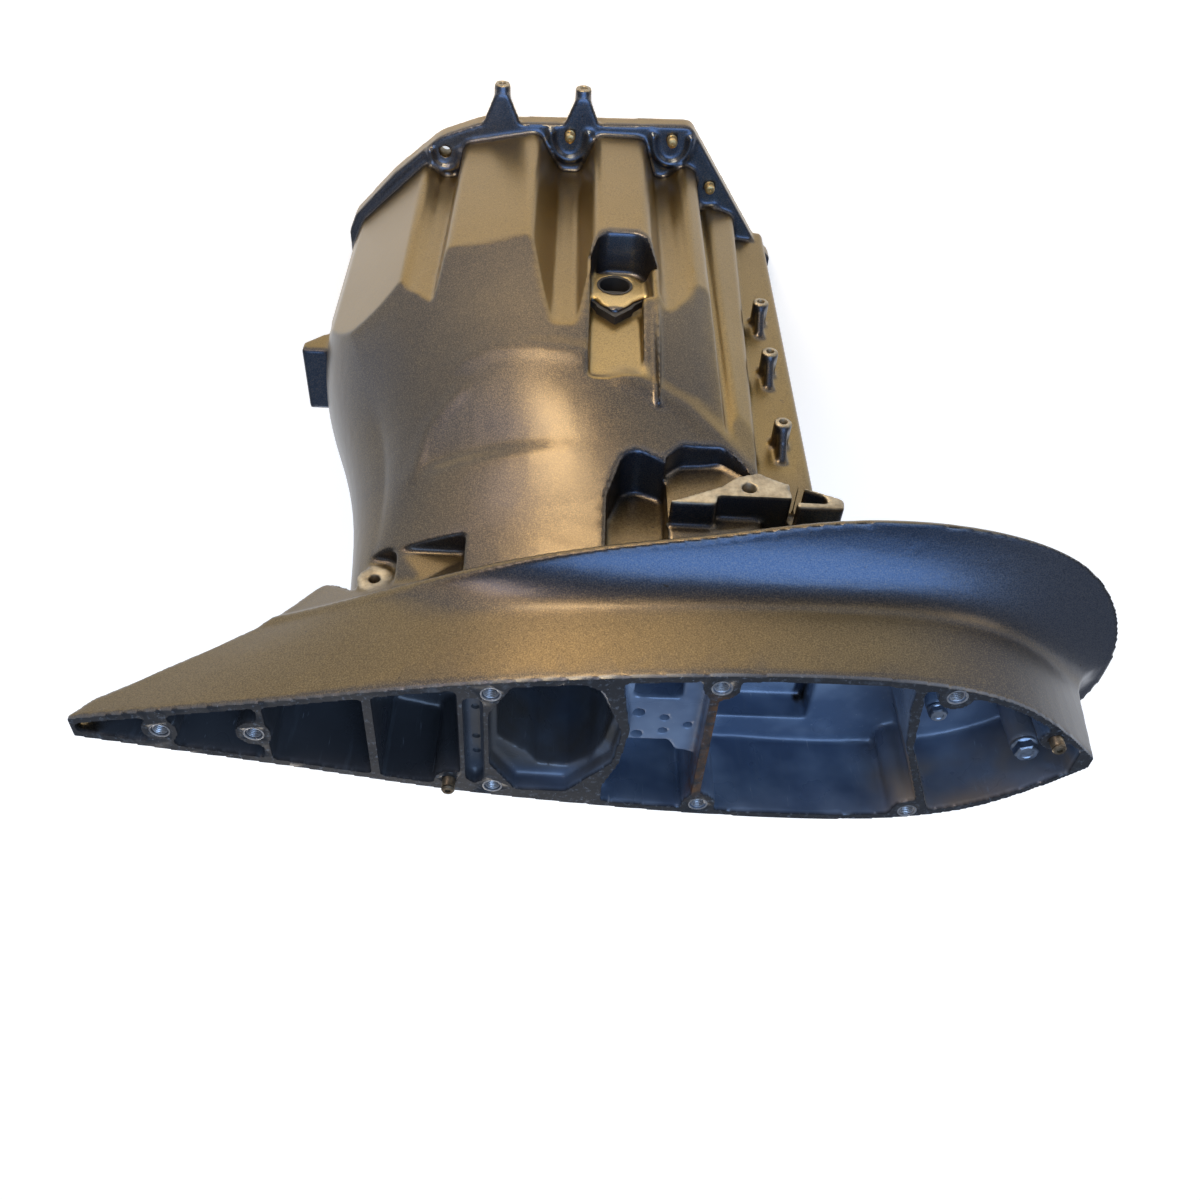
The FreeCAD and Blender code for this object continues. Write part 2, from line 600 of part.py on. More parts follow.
tail_pocket = extrusion(
    "tail_pocket",
    sketch("tail_pocket_outline", rounded([
        (225, HEIGHT - 30, 0), (TAIL - 5, HEIGHT - 10, 0), (TAIL - 5, HEIGHT + 1, 0), (225, HEIGHT + 1, 0),
    ]), "-40", turned=True),
    "80", Vector(0, 1, 0),
)
pockets = join("pockets", [
    tail_pocket,
    chamber("aft_pocket", "Sizes.chamber_floor * 0.8", [(163, -30), (212, -30), (212, 30), (163, 30)]),
    chamber("middle_pocket", "Sizes.chamber_floor", [(103, -60), (158, -60), (158, 60), (103, 60)]),
    chamber("forward_pocket", "Sizes.chamber_floor", [(51, -60), (97, -60), (97, 60), (51, 60)]),
    chamber("drain_slot", "9", [(37, -38), (47, -38), (47, 36), (42, 41), (37, 36)]),
    chamber("exhaust_step", "12", [
        (-14, -56), (18, -52), (33, -25), (33, 20), (18, 45), (-12, 46), (-38, 16), (-42, -12), (-30, -48),
    ]),
    chamber("cover_pocket", "12", [
        (-88, -60), (-40, -60), (-47, -14), (-43, 16), (-34, 40), (-34, 60), (-88, 60),
    ]),
    chamber("water_pocket", "40", [(-75, -60), (-48, -60), (-48, -31), (-75, -31)]),
    chamber("port_pocket", "Sizes.chamber_floor", [
        (-88, 19), (-76, 17), (-71, 8), (-46, 8), (-40, 26), (-36, 60), (-88, 60),
    ]),
    chamber("pump_room", "Sizes.chamber_floor", [
        (-200, -42), (-94, -42), (-94, 70), (-236, 70), (-229, 53), (-206, -10),
    ]),
    chamber("pump_ledge", "Sizes.chamber_floor * 0.6", [(-198, -70), (-94, -70), (-94, -41), (-200, -41)]),
    chamber("nose_room", "Sizes.chamber_floor", [
        (-308, -70), (-204, -70), (-211, -9), (-242, 70), (-308, 70),
    ]),
])
pockets_in = common("pockets_in", [pockets, inner_blade])
GEAR_BOLTS = [(218.6, 0), (166, 0), (31.5, 43), (31.5, -43), (-93.7, 55.2), (-93.7, -55.2), (-223.1, 55),
              (-223.1, -55)]
# Two of them are in solid metal beside the exhaust and need no boss
SOLID_BOLTS = (2, 3)
SPREAD = size["foil_half"] / 67.5
gear_bolts = [(x, y * SPREAD) for x, y in GEAR_BOLTS]
DOWELS = [(57.2, 38.6 * SPREAD), (-289.8, -20.9 * SPREAD)]
face_bosses = [
    cylinder(f"face_boss_{i}", "Sizes.gear_boss", "Sizes.chamber_floor + 2",
             (x, y, "Sizes.casing_height - Sizes.chamber_floor - 1"))
    for i, (x, y) in enumerate(gear_bolts)
    if i not in SOLID_BOLTS
]
dowel_boss = cylinder("dowel_boss", "Sizes.dowel_radius + 5", "Sizes.chamber_floor + 2",
                      (*DOWELS[1], "Sizes.casing_height - Sizes.chamber_floor - 1"))
dowel_boss_aft = cylinder("dowel_boss_aft", "Sizes.dowel_radius + 5", "Sizes.chamber_floor + 2",
                          (*DOWELS[0], "Sizes.casing_height - Sizes.chamber_floor - 1"))
NOSE_BOLTS = [
    (-234, -1, "Sizes.small_bolt", "Sizes.small_boss"),
    (-287, 10.5, "Sizes.large_bolt", "Sizes.large_boss"),
]
bolt_bosses = [
    cylinder(f"bolt_boss_{i}", f"{bolt} * 2.1", f"{tall} + 1",
             (x, y, "Sizes.casing_height - Sizes.chamber_floor - 1"))
    for i, (x, y, bolt, tall) in enumerate(NOSE_BOLTS)
]
chamber_bosses = join("chamber_bosses", [*face_bosses, dowel_boss, dowel_boss_aft, *bolt_bosses])
chambers = cut("chambers", pockets_in, chamber_bosses)

# Well under the pump, passages and holes
pump_well = chamber("pump_well", "Sizes.pump_floor", [(-165, -38), (-100, -38), (-100, 43), (-165, 43)])
exhaust_passage = chamber("exhaust_passage", THROUGH, [
    (-14, -43), (14, -43), (29, -27), (29, 10), (12, 24), (5, 35), (-12, 37), (-26, 28), (-33, 13),
    (-38, -11), (-31, -29), (-26, -40),
])
driveshaft_bore = cylinder("driveshaft_bore", "Sizes.shaft_bore", "60",
                           (-135, 0, "Sizes.casing_height - Sizes.pump_floor - 40"))
cover_holes = []
for i, (x, y, radius) in enumerate([
    (-52, -17, 3.6), (-52, 3, 3.6), (-67, -13, 2.9), (-67, -1, 2.9), (-81, -7, 2.8),
]):
    hole = doc.addObject("Part::Prism", f"cover_hole_{i}")
    hole.Polygon = 8
    hole.Circumradius = radius
    hole.Height = 20
    cover_holes.append(place(hole, (x, y, "Sizes.casing_height - 25"), "up"))
gear_holes = [
    cylinder(f"gear_hole_{i}", "Sizes.gear_thread", "Sizes.gear_thread_depth + 1",
             (x, y, "Sizes.casing_height - Sizes.gear_thread_depth"))
    for i, (x, y) in enumerate(gear_bolts)
]
dowel_holes = [
    cylinder(f"dowel_hole_{i}", "Sizes.dowel_radius", "Sizes.dowel_length - Sizes.dowel_proud + 1",
             (x, y, "Sizes.casing_height - Sizes.dowel_length + Sizes.dowel_proud"))
    for i, (x, y) in enumerate(DOWELS)
]
bolt_holes = [
    cylinder(f"bolt_hole_{i}", bolt, f"{tall} + 6",
             (x, y, "Sizes.casing_height - Sizes.chamber_floor - 5"))
    for i, (x, y, bolt, tall) in enumerate(NOSE_BOLTS)
]

# The casting
carved = cut("carved", body, join("cutters", [side_cuts, side_cuts_port, niche]))
shell = join("shell", [
    carved, flange, skirt_trimmed, lip_trimmed, fin, side_adds, side_adds_port, outlet_pad, niche_boss,
    niche_rib, aft_bracket,
])
hollowed = cut("hollowed", shell, join("hollows", [room, chambers, pump_well, exhaust_passage]))
casing = cut("casing", hollowed, join("holes", [
    side_holes, side_holes_port, outlet_bore, driveshaft_bore, *cover_holes, *gear_holes, *dowel_holes,
    *bolt_holes, *flange_holes,
]))

# Locating dowels, nose bolts, flange studs and the outlet grommet
dowels = join("dowels", [
    cylinder(f"dowel_{i}", "Sizes.dowel_radius", "Sizes.dowel_length",
             (x, y, "Sizes.casing_height - Sizes.dowel_length + Sizes.dowel_proud"))
    for i, (x, y) in enumerate(DOWELS)
])
studs = join("studs", [
    cylinder(f"stud_{i}_{'port' if side > 0 else 'starboard'}", "Sizes.stud_radius",
             "Sizes.flange_thickness + Sizes.stud_proud", (x, side * (y + ear), 0))
    for i, (x, y) in enumerate(STUDS)
    for side in (-1, 1)
])


def nose_bolt(name, spot, collar):
    """Hexagon bolt with a collar under its head, seated on its boss."""
    x, y, bolt, tall = spot
    seat = f"Sizes.casing_height - Sizes.chamber_floor + {tall}"
    shank = cylinder(f"{name}_shank", bolt, f"{tall} + 5.5", (x, y, f"{seat} - {tall} - 5"))
    skirt_disc = cylinder(f"{name}_collar", f"{bolt} * {collar}", "1.8", (x, y, seat))
    head = doc.addObject("Part::Prism", f"{name}_head")
    head.Polygon = 6
    head.setExpression("Circumradius", f"{bolt} * 1.9")
    head.setExpression("Height", f"{bolt} * 1.4 + 1.8")
    place(head, (x, y, seat), "up")
    return join(name, [shank, skirt_disc, head])


bolt_small = nose_bolt("bolt_small", NOSE_BOLTS[0], 2.05)
bolt_large = nose_bolt("bolt_large", NOSE_BOLTS[1], 2.1)
sleeve = cylinder("sleeve", "Sizes.outlet_radius", "Sizes.pad_height + 12",
                  ("Sizes.outlet_x", "-Sizes.niche_face + 10", "Sizes.outlet_z"), "starboard")
sleeve_bore = cylinder("sleeve_bore", "Sizes.outlet_radius - Sizes.grommet_wall", "Sizes.pad_height + 14",
                       ("Sizes.outlet_x", "-Sizes.niche_face + 11", "Sizes.outlet_z"), "starboard")
grommet = cut("grommet", sleeve, sleeve_bore)

NODES = [
    ("upper_casing", casing),
    ("locating_dowels", dowels),
    ("flange_studs", studs),
    ("nose_bolt_small", bolt_small),
    ("nose_bolt_large", bolt_large),
    ("outlet_grommet", grommet),
]
for label, made in NODES:
    made.Label = label
    made.setExpression(".Placement.Base.x", "(Sizes.plate_reach - Sizes.foil_tail) / 2")
doc.recompute()

for made in doc.Objects:
    if "Invalid" in made.State or "Error" in made.State:
        raise RuntimeError(f"{made.Name} failed to build")
for label, made in NODES:
    if made.Shape.isNull() or not made.Shape.isValid():
        raise RuntimeError(f"{label} has no valid shape")
for label, made in NODES:
    made.Shape.exportStep(f"parts/{label}.step")
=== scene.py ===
import math

import bmesh
import bpy
import numpy as np
from mathutils import Matrix, Vector


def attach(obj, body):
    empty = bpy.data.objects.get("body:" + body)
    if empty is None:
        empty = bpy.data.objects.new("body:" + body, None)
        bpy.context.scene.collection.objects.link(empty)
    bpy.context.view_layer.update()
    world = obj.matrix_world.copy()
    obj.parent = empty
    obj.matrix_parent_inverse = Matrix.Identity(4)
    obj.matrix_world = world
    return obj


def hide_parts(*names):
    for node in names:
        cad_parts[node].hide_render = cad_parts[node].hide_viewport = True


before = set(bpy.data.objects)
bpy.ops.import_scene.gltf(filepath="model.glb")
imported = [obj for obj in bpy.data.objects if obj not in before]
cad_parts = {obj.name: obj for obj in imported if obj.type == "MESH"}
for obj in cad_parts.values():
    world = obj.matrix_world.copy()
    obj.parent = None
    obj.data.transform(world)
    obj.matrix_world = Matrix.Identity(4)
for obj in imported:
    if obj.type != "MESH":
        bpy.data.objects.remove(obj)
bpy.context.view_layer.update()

scene = bpy.context.scene

MM = 0.001
# The source counts x from its own origin; the frame counts it from the middle of the footprint
AFT_SHIFT = 40.5
HEIGHT = 500.0
CHAMBER_FLOOR = HEIGHT - 60.0
# From the gearcase face down to the splash plate
SKIRT_DEPTH = 73.0
FLANGE_TOP = 15.0
# Half the part's width over the apron posts, and where the posts' bare ends lie
POST_END, POST_MIDDLE, POST_RADIUS = 175.0, 7.5, 6.6
FRONT_BOSS_X, FRONT_BOSS_END, FRONT_BOSS_RADIUS = -146.5, 80.0, 6.4
# Metres
VOXEL = 0.0018
FLAT_BAND = 0.0012
# For the casting before its holes are cut
TRIANGLE_LIMIT = 170000
STARBOARD, PORT = -1, 1


def at(x, y, z):
    """Point of the frame in metres from the source's millimetres."""
    return Vector(((x + AFT_SHIFT) * MM, y * MM, z * MM))


# Mesh helpers


def mesh_object(name, verts, faces):
    mesh = bpy.data.meshes.new(name)
    mesh.from_pydata([tuple(v) for v in verts], [], faces)
    obj = bpy.data.objects.new(name, mesh)
    scene.collection.objects.link(obj)
    return outward(obj)


def outward(obj):
    """Closes shared points and turns every face outwards."""
    bm = bmesh.new()
    bm.from_mesh(obj.data)
    bmesh.ops.remove_doubles(bm, verts=bm.verts, dist=1e-6)
    bmesh.ops.recalc_face_normals(bm, faces=bm.faces)
    bm.to_mesh(obj.data)
    bm.free()
    return obj


def tube(name, rings, capped=True):
    """Closed skin over rings of points, all of one length; uncapped, the last ring meets the first."""
    steps = len(rings[0])
    verts = [point for ring in rings for point in ring]
    faces = []
    for k in range(len(rings) - 1 if capped else len(rings)):
        n = (k + 1) % len(rings)
        for j in range(steps):
            m = (j + 1) % steps
            faces.append([k * steps + j, k * steps + m, n * steps + m, n * steps + j])
    if capped:
        faces.append(list(range(steps))[::-1])
        faces.append(list(range(len(verts) - steps, len(verts))))
    return mesh_object(name, verts, faces)


def lathe(name, profile, origin, axis, steps=32, capped=True):
    """Solid of revolution; the profile lists (radius, distance along the axis) in millimetres."""
    axis = Vector(axis).normalized()
    side = axis.orthogonal().normalized()
    other = axis.cross(side)
    base = at(*origin)
    rings = []
    for radius, along in profile:
        turns = [2 * math.pi * i / steps for i in range(steps)]
        rings.append([
            base + axis * along * MM + (side * math.cos(turn) + other * math.sin(turn)) * radius * MM
            for turn in turns
        ])
    return tube(name, rings, capped)


def joined(name, objects):
    """One object from several, which are removed."""
    bm = bmesh.new()
    for obj in objects:
        bm.from_mesh(obj.data)
    mesh = bpy.data.meshes.new(name)
    bm.to_mesh(mesh)
    bm.free()
    for obj in objects:
        old = obj.data
        bpy.data.objects.remove(obj)
        bpy.data.meshes.remove(old)
    made = bpy.data.objects.new(name, mesh)
    scene.collection.objects.link(made)
    return made


def applied(obj):
    """Replaces the object's mesh with what its modifiers make."""
    graph = bpy.context.evaluated_depsgraph_get()
    mesh = bpy.data.meshes.new_from_object(obj.evaluated_get(graph))
    obj.modifiers.clear()
    old = obj.data
    obj.data = mesh
    bpy.data.meshes.remove(old)
    return obj


def combined(obj, tool, operation):
    """The object with the tool cut out of it or added to it; the tool is removed."""
    cut = obj.modifiers.new("cut", "BOOLEAN")
    cut.operation = operation
    cut.object = tool
    cut.solver = "MANIFOLD"
    applied(obj)
    old = tool.data
    bpy.data.objects.remove(tool)
    bpy.data.meshes.remove(old)
    return obj


def coordinates(obj):
    co = np.zeros(len(obj.data.vertices) * 3, np.float64)
    obj.data.vertices.foreach_get("co", co)
    return co.reshape(-1, 3)


def set_coordinates(obj, co):
    obj.data.vertices.foreach_set("co", co.astype(np.float32).ravel())
    obj.data.update()


def normals(obj):
    out = np.zeros(len(obj.data.vertices) * 3, np.float32)
    obj.data.vertices.foreach_get("normal", out)
    return out.reshape(-1, 3).astype(np.float64)


def source_mm(co):
    """The source's x, y and z of points of the frame."""
    return co[:, 0] / MM - AFT_SHIFT, co[:, 1] / MM, co[:, 2] / MM


def smooth(low, high, value):
    share = np.clip((value - low) / (high - low), 0, 1)
    return share * share * (3 - 2 * share)


# Places that the casing's details share with the source

GEAR_BOLTS = [(218.6, 0), (166, 0), (31.5, 43), (31.5, -43), (-93.7, 55.2), (-93.7, -55.2), (-223.1, 55),
              (-223.1, -55)]
DOWELS = [(57.2, 38.6), (-289.8, -20.9)]
STUDS = [(1, 141), (-79, 142), (-113, 106)]
FLANGE_HOLE = (99, 122)
POSTS = (54, -8)
FRONT_HEIGHTS = (143, 209, 291)
COVER_HOLES = [(-52, -17, 3.4), (-52, 3, 3.4), (-67, -13, 2.7), (-67, -1, 2.7), (-81, -7, 2.6)]
DRAIN_DIMPLES = [(41, -34), (41, -21), (41, 6), (41, 20)]
OUTLET_X, OUTLET_Z, NICHE_FACE, PAD_HEIGHT = -34, 193, 108, 8
MOUNT_TAP = (-115, 372)
LUG = (109, 402)

# Half widths of the blade-shaped skirt at the gearcase face and at the plate, as (x, half width)
FACE = [(-318, 5), (-289, 31), (-260, 50), (-231, 60), (-150, 67.5), (-30, 60), (75, 45.5), (150, 30.5),
        (210, 19.5), (270, 8)]
PLATE = [(-327, 5), (-300, 33), (-273, 53), (-246, 64), (-170, 72), (-60, 67), (50, 55), (130, 29), (170, 14),
         (215, 4)]
# Half widths of the upper cavity at the powerhead face and at its floor
ROOM_TOP = [(-158, 54), (-131, 55), (-112, 72), (-96, 102), (-76, 104), (76, 104), (90, 95), (104, 95),
            (164, 50), (172, 34)]
ROOM_LOW = [(-158, 52), (-120, 53), (-112, 68), (-96, 76), (-76, 88), (30, 88), (58, 78), (75, 69), (105, 40),
            (118, 30)]
ROOM_DEPTH = 322.0


def across(table, x):
    return np.interp(x, [p[0] for p in table], [p[1] for p in table])


# Holes, closed before the surface is smoothed and cut clean again after it

# Place, direction, radius, depth, chamfer and whether the hole comes out at the far side
HOLES = [((x, y, HEIGHT), (0, 0, -1), 4.25, 32, 0.9, False) for x, y in GEAR_BOLTS]
HOLES += [((x, y, HEIGHT), (0, 0, -1), 4.0, 10, 0.5, False) for x, y in DOWELS]
HOLES += [((x, y, HEIGHT - 12), (0, 0, -1), r, 13, 0.4, False) for x, y, r in COVER_HOLES]
HOLES.append(((OUTLET_X, -NICHE_FACE - PAD_HEIGHT, OUTLET_Z), (0, 1, 0), 12.0, 40, 0.4, True))
for side in (STARBOARD, PORT):
    HOLES += [((x, side * POST_END, POST_MIDDLE), (0, -side, 0), 2.5, 14, 0.6, False) for x in POSTS]
    HOLES += [
        ((FRONT_BOSS_X, side * FRONT_BOSS_END, z), (0, -side, 0), 2.5, 14, 0.6, False) for z in FRONT_HEIGHTS
    ]
    HOLES.append(((MOUNT_TAP[0], side * 90, MOUNT_TAP[1]), (0, -side, 0), 4.25, 30, 0.9, False))
    HOLES.append(((LUG[0], side * 30, LUG[1]), (0, -side, 0), 3.2, 18, 1.0, False))
    HOLES.append(((FLANGE_HOLE[0], side * FLANGE_HOLE[1], FLANGE_TOP), (0, 0, -1), 4.5, 15, 0.5, True))
    HOLES += [((x, side * y, FLANGE_TOP), (0, 0, -1), 4.0, 15, 0.4, True) for x, y in STUDS]


def plug(i, hole):
    """Closes a hole of the CAD mesh, a little past its wall and its floor."""
    place, way, radius, depth, _, through = hole
    end = min(depth, 20) if through else depth + 0.5
    return lathe(f"plug_{i}", [(radius + 0.6, 0.15), (radius + 0.6, end)], place, way, 24)


def drill(i, hole):
    """Cutter for the same hole, with its chamfer."""
    place, way, radius, depth, chamfer, through = hole
    return lathe(f"drill_{i}", [
        (radius + chamfer + 0.4, -2.0), (radius + chamfer, -0.05), (radius, chamfer),
        (radius, depth + 2 if through else depth),
    ], place, way, 32)


# Forms of the casting that are too small for the source


def gusset(side, z):
    """Web that runs from a front boss down to the hull."""
    outline = [(z - 3, side * 58), (z - 3, side * 78), (z + 6, side * 78), (z + 24, side * 58)]
    return tube("gusset", [[at(x, v, u) for u, v in outline] for x in (-149.5, -143.5)])


def ear(side, x, y, across_x, along_y, last):
    """Raised rim under the flange that runs round the inner side of a stud, up to an angle."""
    rings = []
    for k in range(25):
        turn = math.radians(-12 + (last + 12) * k / 24)
        out = Vector((math.cos(turn) * across_x, -math.sin(turn) * along_y))
        way = Vector((math.cos(turn) / across_x, -math.sin(turn) / along_y)).normalized()
        ring = []
        for j in range(10):
            bend = 2 * math.pi * j / 10
            reach = 3.0 * math.cos(bend)
            ring.append(at(x + out.x + way.x * reach, side * (y + out.y + way.y * reach),
                           FLANGE_TOP + 0.6 + 3.2 * math.sin(bend)))
        rings.append(ring)
    return tube("ear", rings)


def niche_ridge():
    """Rounded blade that runs from the niche boss down to a point on the hull."""
    rings = []
    for share in (0.0, 0.2, 0.4, 0.6, 0.8, 0.93, 1.0):
        z = 186 + 122 * share
        half = 5.2 - 3.8 * share
        crest = 127 - 3 * share - 19 * share ** 2.2
        ring = []
        for j in range(12):
            turn = math.pi * j / 11
            rise = 14 * math.sin(turn) ** 0.8
            ring.append(at(-61 - share + half * math.cos(turn), -(crest - 14 + rise), z))
        rings.append(ring)
    return tube("niche_ridge", rings)


casting = bpy.data.objects.new("casting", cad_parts["upper_casing"].data.copy())
scene.collection.objects.link(casting)
casting.data.materials.clear()
outward(casting)
combined(casting, joined("plugs", [plug(i, hole) for i, hole in enumerate(HOLES)]), "UNION")
extras = [niche_ridge()]
for side in (STARBOARD, PORT):
    extras += [gusset(side, z) for z in FRONT_HEIGHTS]
    extras += [ear(side, x, y, 15, 19, 192 if x > -100 else 120) for x, y in STUDS]
    extras.append(ear(side, *FLANGE_HOLE, 12, 13, 192))
for extra in extras:
    combined(casting, extra, "UNION")
exact = bpy.data.objects.new("exact", casting.data.copy())
scene.collection.objects.link(exact)
remesh = casting.modifiers.new("remesh", "REMESH")
remesh.mode = "VOXEL"
remesh.voxel_size = VOXEL
applied(casting)
snap = casting.modifiers.new("snap", "SHRINKWRAP")
snap.target = exact
snap.wrap_method = "NEAREST_SURFACEPOINT"
applied(casting)
bpy.data.meshes.remove(exact.data)


def averages(obj, values):
    """Mean of each column of values over the points that share an edge with each point."""
    edges = np.zeros(len(obj.data.edges) * 2, np.int64)
    obj.data.edges.foreach_get("vertices", edges)
    a, b = edges.reshape(-1, 2).T
    size = len(obj.data.vertices)
    count = np.maximum(np.bincount(a, minlength=size) + np.bincount(b, minlength=size), 1)
    return np.stack([
        (np.bincount(a, column[b], size) + np.bincount(b, column[a], size)) / count for column in values.T
    ], axis=1)


def relax(obj, rounds):
    """Evens the surface out so that cast corners are round, with the machined faces left flat."""
    co = coordinates(obj)
    flat = (co[:, 2] > HEIGHT * MM - FLAT_BAND) | (co[:, 2] < FLAT_BAND)
    for _ in range(rounds):
        for share in (0.6, -0.5):
            move = averages(obj, co) - co
            move[flat, 2] = 0
            co = co + move * share
    co[flat & (co[:, 2] > 0.25), 2] = HEIGHT * MM
    co[flat & (co[:, 2] < 0.25), 2] = 0.0
    set_coordinates(obj, co)


relax(casting, 7)

# Crescent dish in each side of the hull, as (x, z) along its upper and lower edges, with the soft ridges
# over it and aft of the lower mount
DISH_TOP = [(-110, 338), (-96, 331), (-80, 314), (-37, 293), (6, 284), (35, 284), (52, 291), (67, 300),
            (82, 314), (88, 334)]
DISH_DEPTH = [(-110, 0.0), (-30, 0.1), (0, 0.7), (22, 2.0), (45, 3.2), (72, 3.2), (82, 1.8), (89, 0.0)]
DISH_LOW = 338.0
RIDGES = [
    ([(62, 274), (45, 270), (20, 272), (-12, 276)], 1.3, 8.0),
    ([(-40, 290), (-60, 297), (-82, 307), (-100, 322), (-116, 342)], 1.8, 8.0),
    ([(92, 340), (84, 312), (66, 296)], 1.0, 6.0),
]


def sculpt(obj):
    """Presses the dish into the hull and raises the ridges, on its outer surface only."""
    co = coordinates(obj)
    x, y, z = source_mm(co)
    side = np.sign(y)
    facing = smooth(0.25, 0.6, normals(obj)[:, 1] * side) * smooth(232, 250, z) * smooth(424, 410, z)
    facing *= (np.abs(y) > 40)
    top = across(DISH_TOP, x)
    share = np.clip((z - top) / (DISH_LOW - top).clip(4), 0, 1)
    wall = smooth(DISH_LOW + 9, DISH_LOW - 5, z)
    push = -across(DISH_DEPTH, x) * (share ** 1.15) * wall * (z > top)
    for line, lift, width in RIDGES:
        near = np.full(len(x), 1e9)
        for (x0, z0), (x1, z1) in zip(line, line[1:]):
            run = np.array([x1 - x0, z1 - z0], float)
            along = np.clip(((x - x0) * run[0] + (z - z0) * run[1]) / (run @ run), 0, 1)
            near = np.minimum(near, np.hypot(x - x0 - along * run[0], z - z0 - along * run[1]))
        push = push + lift * np.exp(-(near / width) ** 2)
    co[:, 1] += side * push * facing * MM
    set_coordinates(obj, co)


sculpt(casting)
triangles = len(casting.data.polygons) * 2
if triangles > TRIANGLE_LIMIT:
    thin = casting.modifiers.new("thin", "DECIMATE")
    thin.ratio = TRIANGLE_LIMIT / triangles
    applied(casting)
drills = [drill(i, hole) for i, hole in enumerate(HOLES)]
drills += [
    lathe(f"dimple_{i}", [(2.7, -1), (2.4, 0.2), (1.8, 1.8), (0.4, 2.2)], (x, y, HEIGHT - 9), (0, 0, -1), 20)
    for i, (x, y) in enumerate(DRAIN_DIMPLES)
]
combined(casting, joined("drills", drills), "DIFFERENCE")


# Where the casing is bare, dark, rusty or sooty, and where light and shade are painted into its colour, kept
# as numbers on its points


def write_attribute(obj, name, values):
    attribute = obj.data.attributes.new(name, "FLOAT", "POINT")
    attribute.data.foreach_set("value", np.asarray(values, np.float32))


def near_disc(x, z, place, radius):
    return smooth(radius + 0.8, radius - 0.8, np.hypot(x - place[0], z - place[1]))


x, y, z = source_mm(coordinates(casting))
reach = np.abs(y)
depth = np.clip((HEIGHT - z) / SKIRT_DEPTH, 0, 1.1)
blade_half = across(FACE, x) * (1 - depth) + across(PLATE, x) * depth
chamber = smooth(1.8, 3.2, blade_half - reach) * smooth(424, 428, z) * smooth(-324, -314, x)
chamber *= 1 - smooth(252, 256, x) * (z < 499)
face = smooth(499.0, 499.6, z)
room_share = np.clip(z / ROOM_DEPTH, 0, 1)
room_half = across(ROOM_TOP, x) * (1 - room_share) + across(ROOM_LOW, x) * room_share
room = (reach < room_half + 1.5) & (x > -160) & (x < 174 - 52 * room_share) & (z < ROOM_DEPTH + 3)
lower = (reach < 46) & (x > -160) & (x < 36) & (z > ROOM_DEPTH - 3) & (z < 430)
inside = np.maximum.reduce([chamber, face, room.astype(float), lower.astype(float)])
bare = smooth(88.6, 89.4, reach) * smooth(352, 356, z) * smooth(392, 388, z) * smooth(-60, -64, x)
bare = np.maximum(bare, near_disc(x, z, LUG, 11) * smooth(28.5, 29.5, reach) * smooth(34, 31, reach))
for post in POSTS:
    end = near_disc(x, z, (post, POST_MIDDLE), POST_RADIUS) * smooth(POST_END - 1.4, POST_END - 0.4, reach)
    bare = np.maximum(bare, end)
for height in FRONT_HEIGHTS:
    end = near_disc(x, z, (FRONT_BOSS_X, height), FRONT_BOSS_RADIUS)
    bare = np.maximum(bare, end * smooth(FRONT_BOSS_END - 1.2, FRONT_BOSS_END - 0.4, reach))
bare = np.maximum(bare, smooth(0.5, 0.2, z))
rust = np.exp(-((x + 92 - 0.06 * y) / 5.0) ** 2) * smooth(470, 496, z) * smooth(58, 40, reach)
tilt = normals(casting)[:, 2:]
for _ in range(3):
    tilt = averages(casting, tilt)
tilt = tilt[:, 0]
# Where the gold painted highlight on upright faces is at full strength: above the lower hull
upper = smooth(345, 315, z)
# Share of the painted blue sky reflection on upward-facing faces, less near the lug
sky_reflection_share = 1 - 0.75 * smooth(60, 30, np.hypot(x - 95, z - 392)) * smooth(90, 60, reach)
# Painted highlight: brighter gold on the outlet pad and, weaker, on the niche panel
pad_highlight = near_disc(x, z, (OUTLET_X, OUTLET_Z), 27) * smooth(114.6, 115.6, reach) * smooth(118, 117, reach)
panel = smooth(104, 107, reach) * smooth(111, 109, reach) * smooth(-58, -55, x) * smooth(-8, -11, x)
panel *= smooth(205, 210, z) * smooth(290, 285, z)
pad_highlight = np.maximum(pad_highlight, 0.3 * panel)
aft = smooth(-40, 60, x) * 0.9
# Painted light: lighter grey on the flange's underside and on the plate's nose, over the painted sky
# reflection
flange_underside = 0.5 * smooth(24, 19, z) * smooth(40, 80, x)
plate_nose = 0.55 * smooth(-190, -290, x) * smooth(400, 420, z)
painted_light_grey_share = smooth(0.4, 0.8, tilt) * np.maximum(flange_underside, plate_nose)
# Painted shade: darker on the skirt's side walls towards the nose
nose_shade_share = 0.8 * smooth(-170, -270, x) * smooth(418, 432, z) * smooth(0.5, 0.2, tilt)
fore = smooth(-195, -215, x) * smooth(430, 480, z) * (y > 0)
soot = smooth(52, 38, np.hypot(x, y + 4)) * smooth(499, 494, z) * smooth(380, 430, z)
for name, values in (("inside", inside), ("bare", bare), ("rust", rust), ("soot", soot), ("face", face),
                     ("tilt", tilt), ("upper", upper), ("sky_reflection_share", sky_reflection_share), ("aft", aft), ("fore", fore),
                     ("pad_highlight", pad_highlight), ("painted_light_grey_share", painted_light_grey_share), ("nose_shade_share", nose_shade_share)):
    write_attribute(casting, name, values)
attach(casting, "root")
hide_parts("upper_casing")


# Materials


